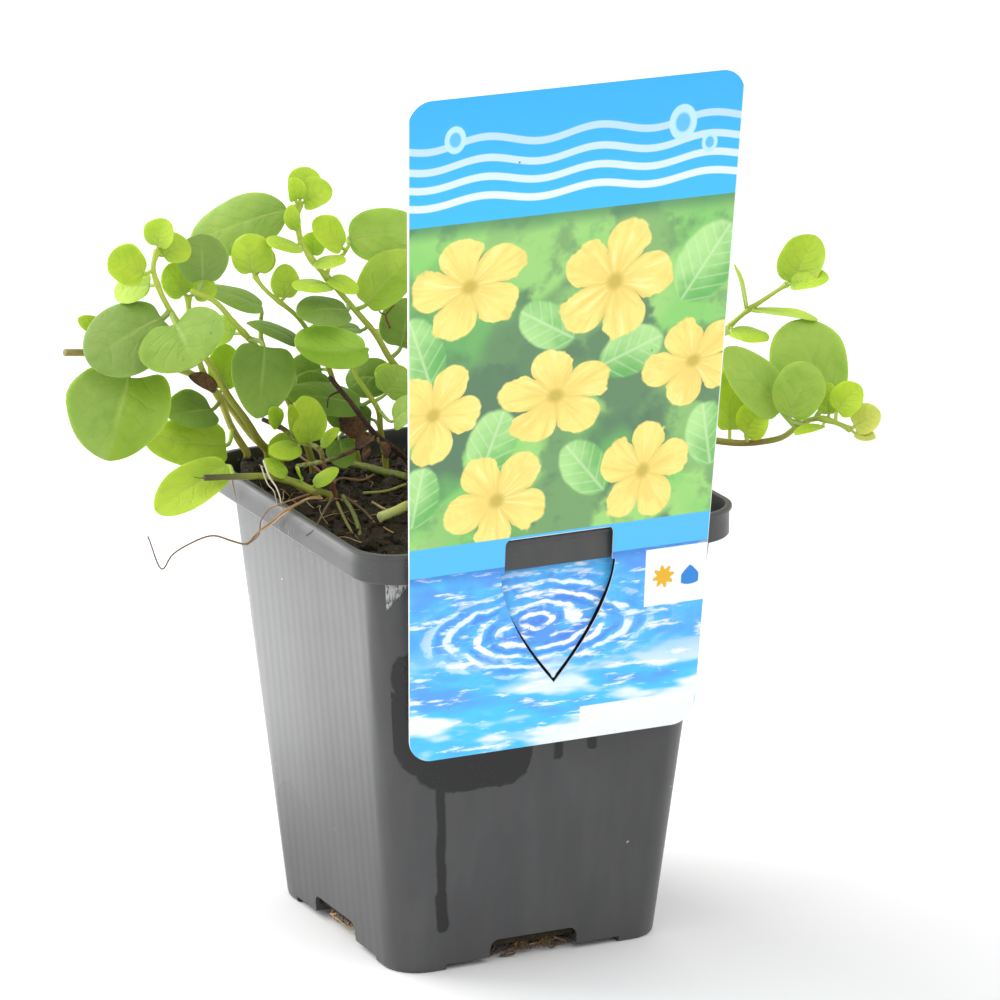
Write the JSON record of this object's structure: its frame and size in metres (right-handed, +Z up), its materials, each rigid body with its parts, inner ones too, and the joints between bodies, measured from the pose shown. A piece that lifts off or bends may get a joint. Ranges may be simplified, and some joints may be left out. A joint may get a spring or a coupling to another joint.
{
  "type": "potted creeping jenny",
  "caption": "Square nursery pot of creeping jenny: round leaves on arching stems, with a tall plant label hung on the rim by a folded tongue.",
  "frame": {"origin": "the middle of the pot's base, on the surface it stands on, under the middle of the plant's spread", "axes": "+Z up through the pot's mouth; -Y is the side the label hangs on; +X is to the right of someone who reads the label"},
  "size_m": [0.1639, 0.1063, 0.1998],
  "materials": {
    "pot": "dark grey moulded plastic, satin, wet on the front",
    "soil": null,
    "label_card": null,
    "root": null,
    "stem": null,
    "old_stem": null,
    "leaf": null,
    "dark_leaf": null,
    "yellow_leaf": null
  },
  "bodies": {
    "root": {"pot": "pot", "soil": "soil", "label": "label_card", "hanging_root": "root", "stem_left_high": "stem", "stem_left_inner": "stem", "stem_left_cut": "stem", "stem_left_upper": "stem", "stem_tall": "stem", "stem_bud": "stem", "stem_middle_low": "stem", "stem_old_brown": "old_stem", "stem_old_red": "old_stem", "stem_runner_left": "stem", "stem_cut_short": "stem", "stem_right_high": "stem", "stem_runner_right": "stem", "stem_back_left": "stem", "stem_back_right": "stem", "stem_middle_high": "stem", "stem_front_right": "stem", "stem_front_low": "stem", "leaf_left_big": "leaf", "leaf_left_grey": "leaf", "leaf_left_folded": "leaf", "leaf_left_top": "yellow_leaf", "leaf_round_grey": "leaf", "leaf_long_top": "leaf", "leaf_edge_light": "leaf", "leaf_yellow_top": "yellow_leaf", "leaf_behind_card": "leaf", "leaf_split_tone": "leaf", "leaf_inner_grey": "leaf", "leaf_inner_dark": "dark_leaf", "leaf_cup": "leaf", "leaf_dark_heart": "dark_leaf", "leaf_dark_pointed": "dark_leaf", "leaf_low_dark": "dark_leaf", "leaf_droop_upper": "yellow_leaf", "leaf_droop_lower": "yellow_leaf", "leaf_low_wide": "dark_leaf", "leaf_low_right_a": "leaf", "leaf_low_right_b": "leaf", "leaf_edge_dark": "dark_leaf", "leaf_shade": "dark_leaf", "leaf_deep_middle": "dark_leaf", "leaf_shade_upper": "dark_leaf", "leaf_shade_right": "dark_leaf", "leaf_shade_low": "dark_leaf", "leaf_low_left": "yellow_leaf", "leaf_withered_left": "old_stem", "leaf_withered_middle": "old_stem", "leaf_right_large": "leaf", "leaf_right_long": "leaf", "leaf_right_round": "leaf", "leaf_right_yellow": "yellow_leaf", "leaf_right_fold": "yellow_leaf", "leaf_right_bud": "yellow_leaf"}
  },
  "joints": []
}
